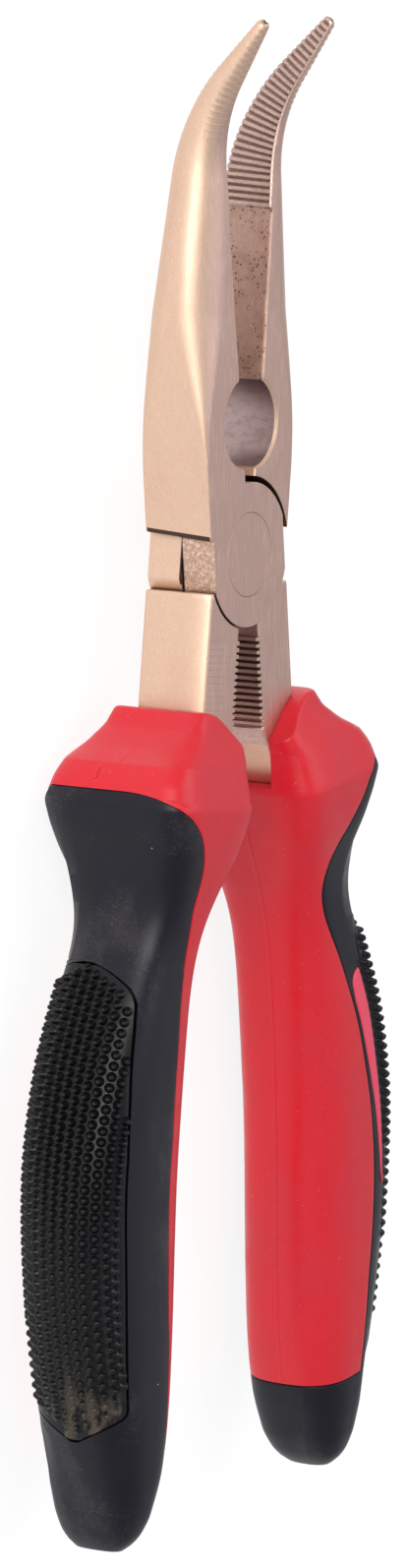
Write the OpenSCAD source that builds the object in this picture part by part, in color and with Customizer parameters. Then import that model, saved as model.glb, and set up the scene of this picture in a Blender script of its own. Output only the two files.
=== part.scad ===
// Bent needle nose pliers with a lap joint, one pivot rivet and two-material grips.
//
// Frame: the pliers lie flat. X is the opening direction, +Y runs along the jaws
// to the tips, +Z is the pivot axis. The origin is the centre of the rivet on the
// rear face of the head. The halves are drawn closed, then turned to the rest pose.

/* [Pose] */
// Angle by which each half is turned from closed at rest
rest_angle = 6.5; // [0:0.5:15]

/* [Head] */
// Thickness of the head, both layers together
head_t = 10; // [9:0.5:12]
// Half width of the head across the jaws
head_half_w = 9.4; // [9.2:0.1:10]
// Half width of a boss across its flats
boss_half_w = 8.8; // [8.4:0.1:9]
// Radius of the round boss of each layer
boss_r = 9.5; // [9.2:0.1:9.8]
// Gap between a boss and the shoulders that pass round it
shoulder_gap = 0.8; // [0.3:0.1:1]
// Gap between the two layers of the lap joint
layer_gap = 0.08; // [0.04:0.02:0.2]

/* [Pivot rivet] */
// Diameter of the rivet shank
shank_d = 7; // [5:0.5:8]
// Diameter of the flush rivet heads
rivet_head_d = 11; // [9:0.5:12]
// Depth of a countersunk rivet head
rivet_head_t = 2; // [1:0.25:2.5]
// Radial clearance of the rivet in the half that turns on it
running_fit = 0.05; // [0.02:0.01:0.1]

/* [Jaws] */
// Distance from the pivot at which the jaws start to bend
bend_start = 52.5; // [50:0.5:56]
// Radius of the bend
bend_r = 14; // [12:1:18]
// Angle of the bent tips
bend_angle = 38; // [30:1:45]
// Length of a jaw along its centre line
jaw_len = 73; // [72:1:78]
// Diameter of the round opening between the jaws
hole_d = 11.8; // [8:0.2:12]
// Distance of the round opening from the pivot
hole_y = 17.2; // [16:0.2:19]
// Depth of the plain flats behind the serrations
relief = 0.35; // [0.2:0.05:0.6]
// Distance from the pivot at which the serrations start
teeth_start = 45.5; // [44:0.5:48]
// Pitch of the jaw serrations
teeth_pitch = 0.9; // [0.8:0.05:1.2]
// Depth of the jaw serrations
teeth_depth = 0.3; // [0.1:0.05:0.4]

/* [Arms] */
// Distance of the top of an arm from the pivot
arm_top = 5.3; // [5.3:0.1:6]
// Half width between the outer sides of the arms
arm_half_w = 9.4; // [9:0.1:10]
// Half gap between the closed arms
arm_half_gap = 0.85; // [0.6:0.05:1.2]
// Number of teeth on the inner edge of an arm
arm_teeth = 14; // [8:1:16]
// Pitch of the arm teeth
arm_pitch = 0.88; // [0.8:0.02:1]
// Depth of the arm teeth
arm_depth = 0.7; // [0.3:0.1:0.9]

/* [Grips] */
// Thickness of the black overmould
skin = 2.2; // [1.6:0.1:2.6]
// Thickness of the nub pad and of the side inlay
pad_t = 1.4; // [1:0.1:1.6]
// Width of the groove round the nub pad
groove = 0.5; // [0.3:0.1:0.8]
// Distance of the top of the overmould from the pivot
skin_top = 31; // [30.5:0.5:33]
// Distance of the end cap from the pivot
cap_top = 117.2; // [116:0.1:119]

/* [Hidden] */

mid_z = head_t / 2;
shoulder_r = boss_r + shoulder_gap;
bore_d = shank_d + 2 * running_fit;

// Straight rim of a rivet head above its cone
rivet_land = 0.3;

// Distance of each gripping face from the middle plane when the pliers are closed
closing_gap = 0.03;

// Farther than any point of the pliers
far = 200;

// Hair by which a piece stays inside the piece that covers it
hair = 0.02;

bronze = [0.80, 0.64, 0.52];
red = [0.85, 0.16, 0.20];
black = [0.13, 0.12, 0.15];
pink = [0.90, 0.28, 0.36];

// Linear reading of column c in a table sorted by its first column
function look(table, at, c) = lookup(at, [for (row = table) [row[0], row[c]]]);

// ---- jaws ---------------------------------------------------------------------

// Along the centre line: distance, half thickness, width, squareness of the section
jaw_shape = [
    [20, 5.00, 9.2, 9], [26, 5.00, 9.2, 6], [32, 4.85, 8.8, 3.8], [40, 4.35, 7.3, 3],
    [46, 3.90, 5.9, 2.6], [52.5, 3.35, 4.4, 2.4], [58, 2.60, 3.5, 2.3], [65, 1.80, 2.5, 2.2],
    [70, 1.15, 1.9, 2.2], [72, 0.90, 1.5, 2.2], [jaw_len, 0.60, 1.1, 2.2],
];
jaw_slope = 3;
jaw_from = 20;
straight_to = 32;
arc_len = bend_r * (bend_angle - jaw_slope) * PI / 180;
bend_end = bend_start + arc_len;

// Height of the centre line at the start of the bend, above the middle plane
bend_z = (bend_start - straight_to) * tan(jaw_slope);

// Slope of the centre line at distance s
function jaw_angle(s) =
    s < straight_to ? 0 :
    s < bend_start ? jaw_slope :
    s < bend_end ? jaw_slope + (s - bend_start) / bend_r * 180 / PI : bend_angle;

// Centre line of a jaw at distance s, as [y, height above the middle plane]
function jaw_arc(a) = [
    bend_start + bend_r * (sin(a) - sin(jaw_slope)),
    bend_z + bend_r * (cos(jaw_slope) - cos(a)),
];
function jaw_mid(s) =
    s < straight_to ? [s, 0] :
    s < bend_start ? [s, (s - straight_to) * tan(jaw_slope)] :
    s < bend_end ? jaw_arc(jaw_angle(s)) :
    jaw_arc(bend_angle) + (s - bend_end) * [cos(bend_angle), sin(bend_angle)];

// Root and crest of the gripping face alternate along the serrations
function face_x(i, s) = s < teeth_start ? relief : (i % 2 == 0 ? teeth_depth : closing_gap);

teeth_count = floor((jaw_len - 0.6 - teeth_start) / teeth_pitch);
jaw_stations = concat(
    [for (s = [jaw_from : 3 : teeth_start - 0.1]) s],
    [for (i = [0 : 2 * teeth_count]) teeth_start + i * teeth_pitch / 2],
    [jaw_len]
);

// Half round section of the left jaw: the flat face, then the rounded outer side
function jaw_ring(i, s) =
    let (h = look(jaw_shape, s, 1), w = look(jaw_shape, s, 2), n = look(jaw_shape, s, 3))
    let (m = jaw_mid(s), a = jaw_angle(s), f = face_x(i, s))
    [for (t = [0 : 15 : 180])
        let (x = f + (w - f) * pow(sin(t), 2 / n))
        let (c = cos(t), v = sign(c) * h * pow(abs(c), 2 / n))
        [-x, m[0] - v * sin(a), mid_z + m[1] + v * cos(a)]];

// Closed solid through rings of equal length
module loft(rings) {
    count = len(rings[0]);
    last = len(rings) - 1;
    sides = [for (k = [0 : last - 1], j = [0 : count - 1])
        let (a = k * count + j, b = k * count + (j + 1) % count)
        each [[a, b, b + count], [a, b + count, a + count]]];
    caps = [
        [for (j = [count - 1 : -1 : 0]) j],
        [for (j = [0 : count - 1]) last * count + j],
    ];
    polyhedron(points = [for (r = rings, p = r) p], faces = concat(sides, caps));
}

// Left jaw: a straight block by the joint and a tapered, bent, half round nose
module left_jaw() {
    shoulder_y = sqrt(pow(shoulder_r, 2) - pow(head_half_w, 2)) - 0.3;
    linear_extrude(head_t)
        polygon([
            [-closing_gap, 0], [-2, 0], [-boss_half_w, shoulder_y], [-head_half_w + 0.5, shoulder_y],
            [-head_half_w, shoulder_y + 0.5], [-head_half_w, 15], [-9.2, jaw_from + 0.2],
            [-relief, jaw_from + 0.2], [-relief, hole_y], [-closing_gap, hole_y],
        ]);
    loft([for (i = [0 : len(jaw_stations) - 1])
        jaw_ring(i - len(jaw_stations) % 2, jaw_stations[i])]);
}

// Round opening, cut to less than half its width in each jaw
hole_offset = 1.3;
module jaw_hole() {
    translate([hole_offset, hole_y, -1]) cylinder(d = hole_d, h = head_t + 2, $fn = 64);
}

// ---- arms ---------------------------------------------------------------------

// Tang inside a grip: distance from the pivot, inner side, outer side
tang_shape = [
    [25, 1.6, 9.4], [28, 3.4, 10.2], [33, 5.0, 12.0], [40, 8.0, 14.0], [47, 9.8, 15.2],
    [56, 12.6, 18.0], [67, 14.8, 20.2], [80, 15.6, 20.8], [92, 15.2, 19.6], [104, 13.2, 17.2],
    [111, 12.4, 15.2],
];
tang_t = 6;
tooth_y = 11.4;

// Outline of the left arm, its teeth and its tang
module arm_outline() {
    polygon(concat(
        [[-boss_half_w + 2, -arm_top], [-arm_half_w + 0.3, -arm_top], [-arm_half_w, -arm_top - 0.4],
            [-arm_half_w, -24]],
        [for (p = tang_shape) [-p[2], -p[0]]],
        [for (i = [len(tang_shape) - 1 : -1 : 0]) [-tang_shape[i][1], -tang_shape[i][0]]],
        [for (i = [arm_teeth - 1 : -1 : 0]) each [
            [-arm_half_gap, -tooth_y - (i + 1) * arm_pitch],
            [-arm_half_gap - arm_depth, -tooth_y - (i + 0.75) * arm_pitch],
            [-arm_half_gap - arm_depth, -tooth_y - (i + 0.45) * arm_pitch],
            [-arm_half_gap, -tooth_y - (i + 0.2) * arm_pitch],
        ]],
        [[-arm_half_gap - 0.5, -tooth_y], [-arm_half_gap - 0.5, -8], [-2, -4]]
    ));
}

// Left arm at the full thickness of the head, and its thinner tang
module arm_and_tang() {
    intersection() {
        linear_extrude(head_t) arm_outline();
        union() {
            translate([-50, -33, -1]) cube([100, 40, head_t + 2]);
            translate([-50, -far, mid_z - tang_t / 2]) cube([100, far - 32, tang_t]);
        }
    }
}

// Rear boss with the left arm
module lever() {
    linear_extrude(mid_z - layer_gap / 2)
        intersection() {
            circle(r = boss_r, $fn = 96);
            square([2 * boss_half_w, 2 * boss_r + 1], center = true);
        }
    arm_and_tang();
}

// Turns a piece half a turn about the long axis of the pliers
module flip() {
    translate([0, 0, head_t]) rotate([0, 180, 0]) children();
}

// Countersunk seat for one rivet head, opening at z = 0
module rivet_seat(extra) {
    rotate_extrude($fn = 96)
        polygon([
            [0, -1], [rivet_head_d / 2 + extra, -1], [rivet_head_d / 2 + extra, rivet_land],
            [shank_d / 2 + extra, rivet_head_t + extra / 2], [0, rivet_head_t + extra / 2],
        ]);
}

// Layer that the other half's boss turns in
module pocket(from, to) {
    translate([0, 0, from]) cylinder(r = shoulder_r, h = to - from, $fn = 96);
}

module rear_half() {
    color(bronze) rotate([0, 0, -rest_angle])
        difference() {
            union() {
                lever();
                mirror([1, 0, 0]) left_jaw();
            }
            pocket(mid_z - layer_gap / 2, head_t + 1);
            mirror([1, 0, 0]) jaw_hole();
            rivet_seat(0);
            translate([0, 0, -1]) cylinder(d = shank_d, h = head_t + 2, $fn = 96);
        }
}

module front_half() {
    color(bronze) rotate([0, 0, rest_angle])
        difference() {
            union() {
                flip() lever();
                left_jaw();
            }
            pocket(-1, mid_z + layer_gap / 2);
            jaw_hole();
            flip() rivet_seat(running_fit);
            translate([0, 0, -1]) cylinder(d = bore_d, h = head_t + 2, $fn = 96);
        }
}

module pivot_rivet() {
    r = shank_d / 2;
    head_r = rivet_head_d / 2;
    color(bronze)
        rotate_extrude($fn = 96)
            polygon([
                [0, 0], [head_r, 0], [head_r, rivet_land], [r, rivet_head_t],
                [r, head_t - rivet_head_t], [head_r, head_t - rivet_land], [head_r, head_t],
                [0, head_t],
            ]);
}

// ---- grips --------------------------------------------------------------------

// Left grip: distance from the pivot, inner side, outer side, half thickness, squareness
grip_shape = [
    [19.5, 1.0, 12.8, 7.0, 12], [22, 1.0, 13.8, 7.4, 12], [25, 1.3, 15.8, 8.7, 12],
    [27.4, 1.7, 18.9, 10.2, 12], [28.6, 1.9, 20.6, 10.8, 12], [32.6, 2.2, 22.3, 11.2, 10],
    [36, 3.0, 21.6, 10.9, 7], [40.5, 4.3, 20.0, 10.0, 5.5], [44, 5.4, 18.9, 8.9, 4.4],
    [47.5, 6.4, 18.8, 8.2, 3.8], [51, 7.1, 19.9, 7.9, 3.5], [57, 7.9, 22.8, 7.8, 3.3],
    [67, 8.3, 26.8, 7.9, 3.1], [80, 7.8, 28.8, 8.0, 2.9], [90, 6.9, 28.3, 8.0, 2.8],
    [100, 6.1, 26.3, 7.9, 2.8], [110, 5.6, 23.1, 7.7, 2.7], [118, 6.0, 20.0, 7.4, 2.7],
    [121.8, 6.9, 18.5, 7.0, 2.7], [125.8, 8.0, 17.0, 6.2, 2.7], [128.3, 9.2, 15.6, 4.9, 2.6],
    [129.8, 10.5, 14.5, 3.2, 2.5], [130.3, 11.2, 13.8, 2.2, 2.4],
];
grip_end = 130.3;

// Edges of the overmould: distance from the pivot, distance outward on the upper face and on
// the lower face
skin_edge = [
    [30, 19.6, 16.8], [32.6, 19.6, 17.4], [34, 18.8, 17.0], [36, 16.8, 16.1], [40.5, 14.2, 12.8],
    [44, 13.7, 10.5], [47.5, 13.6, 10.0], [51, 13.7, 10.6], [57, 14.4, 13.4], [62, 14.7, 15.4],
    [67, 14.8, 17.2], [72, 14.7, 18.3], [80, 14.4, 19.6], [90, 13.1, 19.8], [100, 11.4, 18.5],
    [110, 9.8, 16.6], [118, 8.8, 14.8],
];

// Upper and lower edges of the nub pad, and the two edges of the side inlay, in the same form
pad_edge = [
    [54, 20.4, 19.4], [57, 21.4, 19.8], [61, 22.7, 20.9], [67, 23.8, 22.6], [72, 24.0, 23.5],
    [80, 24.0, 24.2], [90, 23.0, 23.8], [100, 21.4, 22.6], [106, 20.2, 21.4], [110, 19.2, 20.4],
    [112, 19.2, 20.2], [115, 19.8, 20.2],
];
inlay_edges = [
    [60, 18.4, 20.0], [62.4, 17.0, 20.6], [67, 18.2, 22.0], [72, 19.3, 22.8], [80, 20.8, 23.6],
    [86, 21.4, 23.6], [90, 21.8, 23.1], [93, 22.1, 22.8],
];
pad_from = 54.6;
pad_to = 114.4;
inlay_from = 61;
inlay_to = 92.6;
step = 0.2;

// Distances at which the grip has a section; each recess has a pair of close sections
upper_stations = [19.5, 22, 25, 27.4, 28.6, skin_top - step];
main_stations = [
    skin_top, 32.6, 34, 36, 40.5, 44, 47.5, 51, pad_from - 2 * step, pad_from - step,
    pad_from, 57, inlay_from - 2 * step, inlay_from - step, inlay_from, 62.4, 67, 72, 76, 80,
    86, inlay_to, inlay_to + step, inlay_to + 2 * step, 100, 106, 110, pad_to,
    pad_to + step, pad_to + 2 * step, cap_top,
];
cap_stations = [cap_top, 119.5, 121.8, 123.8, 125.8, 127.2, 128.3, 129.8, grip_end];

function between(list, low, high) = [for (y = list) if (y >= low && y <= high) y];

// Half thickness of the grip at a distance outward, drawn in by an inset
function grip_z(y, out, inset) =
    let (a = look(grip_shape, y, 1) + inset, b = look(grip_shape, y, 2) - inset)
    let (h = look(grip_shape, y, 3) - inset, n = look(grip_shape, y, 4))
    let (q = min(1, abs(2 * out - a - b) / (b - a)))
    h * pow(1 - pow(q, n), 1 / n);

function side_in(y, inset) = look(grip_shape, y, 1) + inset;
function side_out(y, inset) = look(grip_shape, y, 2) - inset;

// Points on the upper face from one distance outward to another; side -1 is the lower face
function face_points(y, from, to, inset, side, n) =
    [for (k = [0 : n]) let (u = from + (to - from) * k / n)
        [-u, -y, mid_z + side * grip_z(y, u, inset)]];

// Points round the outer side from the upper edge to the lower edge
function round_points(y, upper, lower, inset, n) =
    let (b = side_out(y, inset))
    concat(
        [for (k = [0 : n]) let (u = upper + (b - upper) * sin(90 * k / n))
            [-u, -y, mid_z + grip_z(y, u, inset)]],
        [for (k = [n - 1 : -1 : 0]) let (u = lower + (b - lower) * sin(90 * k / n))
            [-u, -y, mid_z - grip_z(y, u, inset)]]
    );

function reversed(list) = [for (k = [len(list) - 1 : -1 : 0]) list[k]];

// Depth of a recess: full between two distances, a hair elsewhere
function recess(y, from, to, depth) = y > from - 1.5 * step && y < to + 1.5 * step ? depth : hair;

// Edges of the overmould, of the pad and of the inlay, kept in order
function skin_upper(y) = min(look(skin_edge, y, 1), side_out(y, 0) - 2);
function skin_lower(y) = look(skin_edge, y, 2);
function pad_upper(y) = min(look(pad_edge, y, 1), side_out(y, 0) - 1);
function pad_lower(y) = min(look(pad_edge, y, 2), side_out(y, 0) - 1);
function inlay_outer(y) = min(look(inlay_edges, y, 2), pad_lower(y) - 0.4);
function inlay_inner(y) = min(look(inlay_edges, y, 1), inlay_outer(y) - 0.4);

// Section of the overmould: outer surface with both recesses, then its inner surface
function skin_ring(y) =
    let (e = skin_upper(y), f = skin_lower(y), p = pad_upper(y), q = pad_lower(y))
    let (i = inlay_inner(y), j = inlay_outer(y))
    let (dp = recess(y, pad_from, pad_to, pad_t), di = recess(y, inlay_from, inlay_to, pad_t))
    concat(
        face_points(y, e, p, 0, 1, 3),
        round_points(y, p, q, dp, 5),
        face_points(y, q, j, 0, -1, 1),
        face_points(y, j, i, di, -1, 2),
        face_points(y, i, f, 0, -1, 1),
        reversed(round_points(y, e, f, skin, 5))
    );

// Distances outward from the inner side to an edge, close together where the side is round
function inner_steps(y, edge) =
    let (a = side_in(y, 0)) [for (k = [5 : -1 : 1]) a + (edge - a) * (1 - sin(90 * k / 5))];

// Section of the core: its own outer surface, then the surface under the overmould
function core_ring(y) =
    let (e = min(skin_upper(y), side_out(y, 0) - 3), f = min(skin_lower(y), side_out(y, 0) - 3))
    let (s = y < skin_top - step / 2 ? hair : skin)
    concat(
        [[-side_in(y, 0), -y, mid_z]],
        [for (u = inner_steps(y, e)) [-u, -y, mid_z + grip_z(y, u, 0)]],
        [[-e, -y, mid_z + grip_z(y, e, 0)]],
        round_points(y, e, f, s, 5),
        [[-f, -y, mid_z - grip_z(y, f, 0)]],
        [for (u = reversed(inner_steps(y, f))) [-u, -y, mid_z - grip_z(y, u, 0)]]
    );

// Section of the end cap, which closes the grip
function cap_ring(y) =
    let (a = side_in(y, 0), m = (a + side_out(y, 0)) / 2)
    let (inner = [for (k = [5 : -1 : 1]) a + (m - a) * (1 - sin(90 * k / 5))])
    concat(
        [[-a, -y, mid_z]],
        [for (u = inner) [-u, -y, mid_z + grip_z(y, u, 0)]],
        round_points(y, m, m, 0, 5),
        [for (u = reversed(inner)) [-u, -y, mid_z - grip_z(y, u, 0)]]
    );

// Section of the nub pad; its upper edges slope and leave a groove round it
function pad_ring(y) =
    let (p = pad_upper(y), q = pad_lower(y))
    concat(
        round_points(y, p + groove, q + groove, 0, 5),
        reversed(round_points(y, p, q, pad_t, 5))
    );

// Section of the side inlay, on the lower face only
function inlay_ring(y) =
    let (i = inlay_inner(y), j = inlay_outer(y), edge = 0.15)
    concat(
        face_points(y, j - edge, i + edge, 0, -1, 2),
        face_points(y, i, j, pad_t, -1, 2)
    );

// The grip's sections run away from the tips, so their points are taken in reverse
module grip_loft(rings) {
    loft([for (r = rings) reversed(r)]);
}

// Slanted mouth of the core and the window that shows the inner side of the arm
module mouth() {
    translate([0, 0, -50]) linear_extrude(100)
        polygon([[10, -26.2], [-1.0, -25.4], [-11.2, -17.6], [10, -10]]);
    translate([-6, -30.6, 0]) cube([8, 12, head_t]);
}

// An unchanged size in resize joins the lofted pieces into one solid
module grip_core() {
    color(red) resize([0, 0, 0])
        difference() {
            grip_loft([for (y = concat(upper_stations, between(main_stations, skin_top, cap_top)))
                core_ring(y)]);
            mouth();
            arm_and_tang();
        }
}

module grip_overmould() {
    color(black) resize([0, 0, 0]) {
        grip_loft([for (y = main_stations) skin_ring(y)]);
        grip_loft([for (y = cap_stations) cap_ring(y)]);
    }
}

module nub_pad() {
    color(black) grip_loft([for (y = between(main_stations, pad_from, pad_to)) pad_ring(y)]);
}

module side_inlay() {
    color(pink) grip_loft([for (y = between(main_stations, inlay_from, inlay_to)) inlay_ring(y)]);
}

module left() {
    rotate([0, 0, -rest_angle]) children();
}

module right() {
    rotate([0, 0, rest_angle]) flip() children();
}

front_half();
rear_half();
pivot_rivet();
left() grip_core();  // left_grip_core
left() grip_overmould();  // left_grip_overmould
left() nub_pad();  // left_nub_pad
left() side_inlay();  // left_side_inlay
right() grip_core();  // right_grip_core
right() grip_overmould();  // right_grip_overmould
right() nub_pad();  // right_nub_pad
right() side_inlay();  // right_side_inlay
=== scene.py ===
"""Bent needle nose pliers: bronze coated steel halves on a flush rivet, with two-material grips.

Pieces are drawn in millimetres with the pliers closed, in the frame's own axes. place() turns
them to the rest pose and to metres. The floor and the lamps are in metres.
"""
import math

import bmesh
import bpy
import numpy as np
from mathutils import Matrix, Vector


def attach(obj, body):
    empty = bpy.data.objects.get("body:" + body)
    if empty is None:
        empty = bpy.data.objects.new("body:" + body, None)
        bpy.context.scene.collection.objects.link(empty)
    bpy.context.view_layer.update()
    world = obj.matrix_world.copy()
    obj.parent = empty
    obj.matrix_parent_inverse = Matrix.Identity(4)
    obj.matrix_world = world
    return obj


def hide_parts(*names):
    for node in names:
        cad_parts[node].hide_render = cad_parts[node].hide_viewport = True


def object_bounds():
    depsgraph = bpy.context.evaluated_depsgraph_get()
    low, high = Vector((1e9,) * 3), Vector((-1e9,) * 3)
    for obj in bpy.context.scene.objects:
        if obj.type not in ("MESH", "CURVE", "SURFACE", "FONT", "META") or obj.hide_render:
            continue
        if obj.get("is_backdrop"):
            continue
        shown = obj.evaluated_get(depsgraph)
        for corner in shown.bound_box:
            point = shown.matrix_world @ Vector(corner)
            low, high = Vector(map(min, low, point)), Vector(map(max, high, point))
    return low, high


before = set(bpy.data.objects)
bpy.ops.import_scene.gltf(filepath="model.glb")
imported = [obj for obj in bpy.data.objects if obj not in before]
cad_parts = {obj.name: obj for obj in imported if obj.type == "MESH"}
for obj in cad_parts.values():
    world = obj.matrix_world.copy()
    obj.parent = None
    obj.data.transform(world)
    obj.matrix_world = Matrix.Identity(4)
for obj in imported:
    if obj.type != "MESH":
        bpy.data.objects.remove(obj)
cad_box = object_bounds()

MM = 0.001
REST_ANGLE = 6.5

# ---- driving dimensions --------------------------------------------------------------
# Most are the frame's own sizes. The shoulders round the bosses, the bend, the guards and the
# edges of the grips are drawn a little differently.

HEAD_T = 10.0
MID_Z = HEAD_T / 2
BOSS_HALF_W = 8.8
BOSS_R = 9.5
SHOULDER_R = 10.05
SHOULDER_SHIFT = 0.25
SHOULDER_SLANT = 0.075
LAYER_GAP = 0.08
SHANK_R = 3.5
RIVET_R = 5.5
RIVET_DEPTH = 2.0
RIVET_LAND = 0.3
SPLIT_EDGE = 0.2
RUNNING_FIT = 0.05
HOLE_R = 5.9
HOLE_Y = 17.2
HOLE_OFFSET = 1.3
HOLE_RIM = 0.35
CLOSING_GAP = 0.03
RELIEF = 0.35
JAW_TOP = 3.9
JAW_LEN = 73.0
TEETH_START = 45.5
TEETH_PITCH = 0.9
TEETH_DEPTH = 0.3
ARM_TOP = 5.3
ARM_HALF_W = 9.4
ARM_HALF_GAP = 0.85
ARM_TEETH = 14
ARM_PITCH = 0.88
ARM_DEPTH = 0.7
ARM_TEETH_START = 11.4

SKIN_BACK = 1.98
SKIN_TOP = 31.0
CAP_TOP = 117.2
GRIP_END = 130.3


# ---- tables and curves ---------------------------------------------------------------

def smooth_table(rows, width, step=0.1):
    """Columns of a table on a fine grid, each averaged over a Gaussian of the given width."""
    rows = np.array(rows, float)
    grid = np.arange(rows[0, 0], rows[-1, 0] + step / 2, step)
    lines = [np.interp(grid, rows[:, 0], rows[:, c]) for c in range(1, rows.shape[1])]
    out = []
    for line in lines:
        new = np.empty_like(line)
        for k, y in enumerate(grid):
            s = width(y)
            reach = min(3 * s, y - grid[0], grid[-1] - y)
            near = np.abs(grid - y) <= reach + 1e-9
            weight = np.exp(-0.5 * ((grid[near] - y) / s) ** 2)
            new[k] = (line[near] * weight).sum() / weight.sum()
        out.append(new)
    return grid, out


class Table:
    """A table of numbers against distance, read with smooth curves through its corners."""

    def __init__(self, rows, width):
        self.grid, self.columns = smooth_table(rows, width)

    def at(self, y):
        return [float(np.interp(y, self.grid, c)) for c in self.columns]


def ease(t):
    t = min(1.0, max(0.0, t))
    return t * t * (3 - 2 * t)


# ---- mesh helpers --------------------------------------------------------------------

def new_object(name, verts, faces):
    mesh = bpy.data.meshes.new(name)
    mesh.from_pydata([tuple(v) for v in verts], [], faces)
    mesh.validate()
    obj = bpy.data.objects.new(name, mesh)
    bpy.context.scene.collection.objects.link(obj)
    return obj


def fix_normals(obj):
    bm = bmesh.new()
    bm.from_mesh(obj.data)
    bmesh.ops.recalc_face_normals(bm, faces=bm.faces)
    if bm.calc_volume(signed=True) < 0:
        bmesh.ops.reverse_faces(bm, faces=bm.faces)
    bm.to_mesh(obj.data)
    bm.free()


def loft(name, rings, cap_start=None, cap_end=None):
    """Closed solid through rings of equal length. A cap is one face, or the faces given."""
    count = len(rings[0])
    last = len(rings) - 1
    faces = []
    for k in range(last):
        for j in range(count):
            a, b = k * count + j, k * count + (j + 1) % count
            faces.append((a, b, b + count, a + count))
    faces += cap_start or [tuple(range(count))[::-1]]
    base = last * count
    faces += [tuple(base + i for i in f) for f in (cap_end or [tuple(range(count))])]
    obj = new_object(name, [p for ring in rings for p in ring], faces)
    fix_normals(obj)
    return obj


def ladder(count):
    """Cap faces that join the two sides of a ring whose halves mirror each other."""
    half = count // 2
    faces = []
    for i in range(half):
        a, b, c, d = i, i + 1, (count - i - 1) % count, (count - i) % count
        quad = []
        for v in (a, b, c, d):
            if v not in quad:
                quad.append(v)
        if len(quad) > 2:
            faces.append(tuple(quad))
    return faces


def lathe(name, profile, segments=96, centre=(0, 0)):
    """Solid of revolution about Z. The profile runs from the axis to the axis as (r, z)."""
    rings = []
    for r, z in profile[1:-1]:
        rings.append([(centre[0] + r * math.cos(2 * math.pi * k / segments),
                       centre[1] + r * math.sin(2 * math.pi * k / segments), z)
                      for k in range(segments)])
    return loft(name, rings)


def combine(target, other, operation):
    """Boolean of two solids, with the second one removed afterwards."""
    mod = target.modifiers.new("combine", "BOOLEAN")
    mod.operation = operation
    mod.solver = "MANIFOLD"
    mod.object = other
    depsgraph = bpy.context.evaluated_depsgraph_get()
    mesh = bpy.data.meshes.new_from_object(target.evaluated_get(depsgraph))
    target.modifiers.clear()
    old = target.data
    target.data = mesh
    bpy.data.meshes.remove(old)
    bpy.data.objects.remove(other)


def place(obj, matrix):
    """Moves a mesh by a matrix in millimetres and turns it into metres."""
    obj.data.transform(Matrix.Scale(MM, 4) @ matrix)
    if matrix.determinant() < 0:
        obj.data.flip_normals()


def finish_surface(obj, angle=30):
    """Smooth shading that keeps sharp edges and flat faces."""
    obj.data.shade_smooth()
    obj.data.set_sharp_from_angle(angle=math.radians(angle))
    mod = obj.modifiers.new("flat_faces", "WEIGHTED_NORMAL")
    mod.keep_sharp = True
    mod.mode = "FACE_AREA"


REAR_TURN = Matrix.Rotation(math.radians(-REST_ANGLE), 4, "Z")
FRONT_TURN = Matrix.Rotation(math.radians(REST_ANGLE), 4, "Z")
FLIP = Matrix.Translation((0, 0, HEAD_T)) @ Matrix.Rotation(math.pi, 4, "Y")
MIRROR = Matrix.Scale(-1, 4, (1, 0, 0))


# ---- steel halves --------------------------------------------------------------------

def rounded_section(inner, rim, outer, low, high, edge, front, back, steps=10):
    """Points of a bar's section. inner, rim and outer are distances outward: of the face, of
    its front edge and of the far side. front and back are the (x, z) radii of the outer
    corners, and edge is the chamfer of the inner corners."""
    points = [(inner, (low + high) / 2), (inner, high - edge - 0.35), (rim, high - edge - 0.08),
              (rim + edge * 0.4, high - edge * 0.35), (rim + edge, high)]
    for k in range(steps + 1):
        a = math.pi / 2 * k / steps
        points.append((outer - front[0] + front[0] * math.sin(a), high - front[1] + front[1] * math.cos(a)))
    for k in range(steps + 1):
        a = math.pi / 2 * k / steps
        points.append((outer - back[0] + back[0] * math.cos(a), low + back[1] - back[1] * math.sin(a)))
    points += [(inner + edge, low), (inner + edge * 0.4, low + edge * 0.35), (inner, low + edge)]
    return points


# Along the centre line: half thickness, width, corner radius across and through
JAW = Table([
    (0, 5.0, 9.4, 0.25, 0.25), (12, 5.0, 9.4, 0.3, 0.3), (16, 5.0, 9.4, 0.6, 0.5),
    (20, 5.0, 9.4, 1.5, 1.3), (26, 5.0, 9.2, 3.6, 3.0), (32, 4.85, 8.8, 5.4, 3.9),
    (40, 4.35, 7.3, 5.4, 3.9), (46, 3.9, 5.9, 4.6, 3.6), (52.5, 3.35, 4.4, 3.6, 3.1),
    (58, 2.6, 3.5, 2.9, 2.4), (65, 1.8, 2.5, 2.2, 1.65), (70, 1.15, 1.85, 1.7, 1.05),
    (72, 0.9, 1.5, 1.35, 0.8), (JAW_LEN, 0.72, 1.2, 1.0, 0.65),
], lambda y: 0.5 if y < 14 or y > 69 else 2.0)
JAW_SLOPE = 3.0
STRAIGHT_TO = 32.0
BEND_START = 49.5
BEND_R = 24.0
BEND_ANGLE = 38.0


def jaw_line(s):
    """Centre line of a jaw at distance s, as y, height above the middle plane and slope."""
    slope, bent = math.radians(JAW_SLOPE), math.radians(BEND_ANGLE)
    if s < STRAIGHT_TO:
        return s, 0.0, 0.0
    if s < BEND_START:
        return s, (s - STRAIGHT_TO) * math.tan(slope), slope
    z0 = (BEND_START - STRAIGHT_TO) * math.tan(slope)
    a = min(bent, slope + (s - BEND_START) / BEND_R)
    y = BEND_START + BEND_R * (math.sin(a) - math.sin(slope))
    z = z0 + BEND_R * (math.cos(slope) - math.cos(a))
    rest = max(0.0, s - BEND_START - BEND_R * (bent - slope))
    return y + rest * math.cos(a), z + rest * math.sin(a), a


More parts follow.
